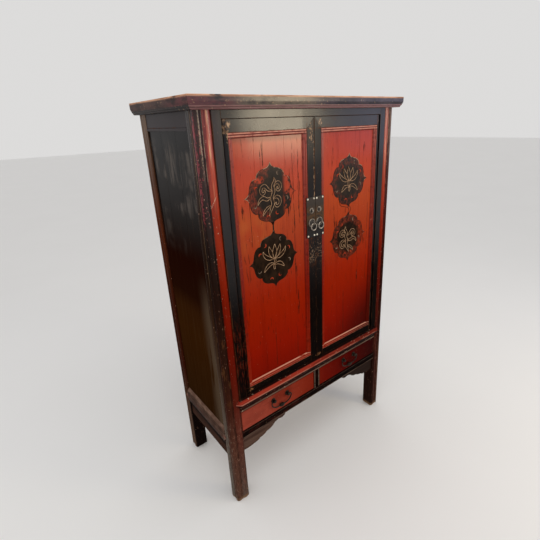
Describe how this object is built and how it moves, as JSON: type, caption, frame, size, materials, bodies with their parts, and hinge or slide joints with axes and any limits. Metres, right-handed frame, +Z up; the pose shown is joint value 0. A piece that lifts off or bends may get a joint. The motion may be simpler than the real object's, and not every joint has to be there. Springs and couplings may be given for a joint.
{
  "type": "two-door cabinet with drawers",
  "caption": "Tall lacquered cabinet on lobed posts, with framed panel doors on wooden pivots over drawers, lock plates, pull rings and bails.",
  "frame": {"origin": "on the floor, under the middle of the whole outline", "axes": "+Z up, +X to the cabinet's right as seen from the front, the doors face -Y"},
  "size_m": [1.108, 0.533, 1.8],
  "materials": {
    "black_lacquer": "worn black lacquer over red, semi-gloss",
    "red_lacquer": "worn orange-red lacquer, gloss, fine vertical cracks",
    "drawer_lacquer": "dull brick-red lacquer",
    "side_lacquer": "rubbed dark brown lacquer with streaks",
    "worn_brown": "worn grey-brown lacquered wood",
    "raw_wood": "unfinished aged softwood",
    "grey_brass": "tarnished grey-brown brass sheet",
    "pale_nail": "rubbed bright heads",
    "black_iron": "forged iron, dark"
  },
  "bodies": {
    "carcass": {"post_front_left": "black_lacquer", "post_front_right": "black_lacquer", "post_rear_left": "black_lacquer", "post_rear_right": "black_lacquer", "top_front_member": "black_lacquer", "top_rear_member": "black_lacquer", "top_left_member": "black_lacquer", "top_right_member": "black_lacquer", "top_panel": "black_lacquer", "front_top_rail": "black_lacquer", "door_sill_rail": "red_lacquer", "front_bottom_rail": "black_lacquer", "drawer_divider": "worn_brown", "left_jamb_strip": "black_lacquer", "right_jamb_strip": "black_lacquer", "left_front_bracket": "worn_brown", "right_front_bracket": "worn_brown", "left_side_top_rail": "side_lacquer", "right_side_top_rail": "side_lacquer", "left_side_panel": "side_lacquer", "right_side_panel": "side_lacquer", "left_side_bottom_rail": "worn_brown", "right_side_bottom_rail": "worn_brown", "left_side_apron": "side_lacquer", "right_side_apron": "side_lacquer", "rear_top_rail": "raw_wood", "rear_bottom_rail": "raw_wood", "back_panel": "raw_wood", "cabinet_floor": "raw_wood", "shelf": "raw_wood", "drawer_deck": "raw_wood", "drawer_guide": "raw_wood"},
    "left_door": {"left_door_hinge_stile": "black_lacquer", "left_door_meeting_stile": "black_lacquer", "left_door_top_rail": "black_lacquer", "left_door_bottom_rail": "black_lacquer", "left_door_panel": "red_lacquer", "left_lock_plate": "grey_brass", "left_plate_nails": "pale_nail", "left_staple_and_boss": "grey_brass"},
    "left_drawer": {"left_drawer_front": "drawer_lacquer", "left_drawer_box": "raw_wood", "left_drawer_bottom": "raw_wood", "left_bail_posts": "black_iron"},
    "left_ring": {"left_pull_ring": "grey_brass"},
    "left_bail": {"left_drawer_bail": "black_iron"},
    "right_door": {"right_door_hinge_stile": "black_lacquer", "right_door_meeting_stile": "black_lacquer", "right_door_top_rail": "black_lacquer", "right_door_bottom_rail": "black_lacquer", "right_door_panel": "red_lacquer", "right_lock_plate": "grey_brass", "right_plate_nails": "pale_nail", "right_staple_and_boss": "grey_brass"},
    "right_drawer": {"right_drawer_front": "drawer_lacquer", "right_drawer_box": "raw_wood", "right_drawer_bottom": "raw_wood", "right_bail_posts": "black_iron"},
    "right_ring": {"right_pull_ring": "grey_brass"},
    "right_bail": {"right_drawer_bail": "black_iron"}
  },
  "joints": [
    {"name": "left_door_swing", "type": "hinge", "parent": "carcass", "child": "left_door", "pos_m": [-0.408, -0.2195, 1.15], "axis": [0, 0, -1], "range_deg": [0, 93]},
    {"name": "left_drawer_slide", "type": "slide", "parent": "carcass", "child": "left_drawer", "axis": [0, -1, 0], "range_m": [0, 0.3]},
    {"name": "left_ring_swing", "type": "hinge", "parent": "left_door", "child": "left_ring", "pos_m": [-0.022, -0.2502, 1.2902], "axis": [-1, 0, 0], "range_deg": [0, 100]},
    {"name": "left_bail_swing", "type": "hinge", "parent": "left_drawer", "child": "left_bail", "pos_m": [-0.2405, -0.2425, 0.472], "axis": [-1, 0, 0], "range_deg": [0, 100]},
    {"name": "right_door_swing", "type": "hinge", "parent": "carcass", "child": "right_door", "pos_m": [0.408, -0.2195, 1.15], "axis": [0, 0, 1], "range_deg": [0, 93]},
    {"name": "right_drawer_slide", "type": "slide", "parent": "carcass", "child": "right_drawer", "axis": [0, -1, 0], "range_m": [0, 0.3]},
    {"name": "right_ring_swing", "type": "hinge", "parent": "right_door", "child": "right_ring", "pos_m": [0.022, -0.2502, 1.2902], "axis": [-1, 0, 0], "range_deg": [0, 100]},
    {"name": "right_bail_swing", "type": "hinge", "parent": "right_drawer", "child": "right_bail", "pos_m": [0.2405, -0.2425, 0.472], "axis": [-1, 0, 0], "range_deg": [0, 100]}
  ]
}
